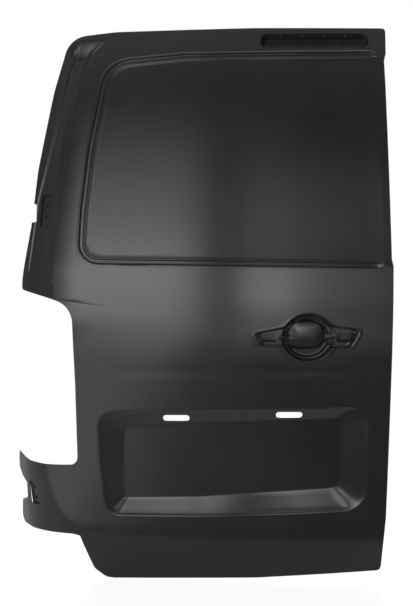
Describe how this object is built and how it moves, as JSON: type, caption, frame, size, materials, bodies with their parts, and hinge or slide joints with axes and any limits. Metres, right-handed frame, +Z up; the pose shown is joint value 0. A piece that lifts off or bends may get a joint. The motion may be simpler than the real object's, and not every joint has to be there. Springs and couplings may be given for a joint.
{
  "type": "van rear door",
  "caption": "Left rear barn door shell of a panel van with closed window blank, wrapped hinge ear, plate recess, handle bowl and lamp pocket, in black primer.",
  "frame": {"origin": "centre of the flat face of the lower hinge seat, between its two bolt holes", "axes": "+X across the van towards the free edge, +Y into the van, +Z up"},
  "size_m": [0.9849, 0.2286, 1.454],
  "materials": {
    "ecoat_outer": "satin black electro-coat primer",
    "ecoat_inner": "satin black electro-coat primer on the inner pressings",
    "ecoat_plate": "satin black electro-coat primer on thicker plate",
    "weld_nut": "primed weld nuts with bare threads"
  },
  "bodies": {
    "root": {"outer_skin": "ecoat_outer", "inner_panel": "ecoat_inner", "lamp_pocket": "ecoat_outer", "blank_stiffener_left": "ecoat_plate", "blank_stiffener_right": "ecoat_plate", "waist_rail": "ecoat_plate", "header_rail": "ecoat_plate", "handle_plate": "ecoat_plate", "latch_plate": "ecoat_plate", "upper_lock_plate": "ecoat_plate", "lower_lock_plate": "ecoat_plate", "upper_hinge_plate": "ecoat_plate", "lower_hinge_plate": "ecoat_plate", "upper_hinge_nuts": "weld_nut", "lower_hinge_nuts": "weld_nut", "check_strap_bracket": "ecoat_plate"}
  },
  "joints": []
}
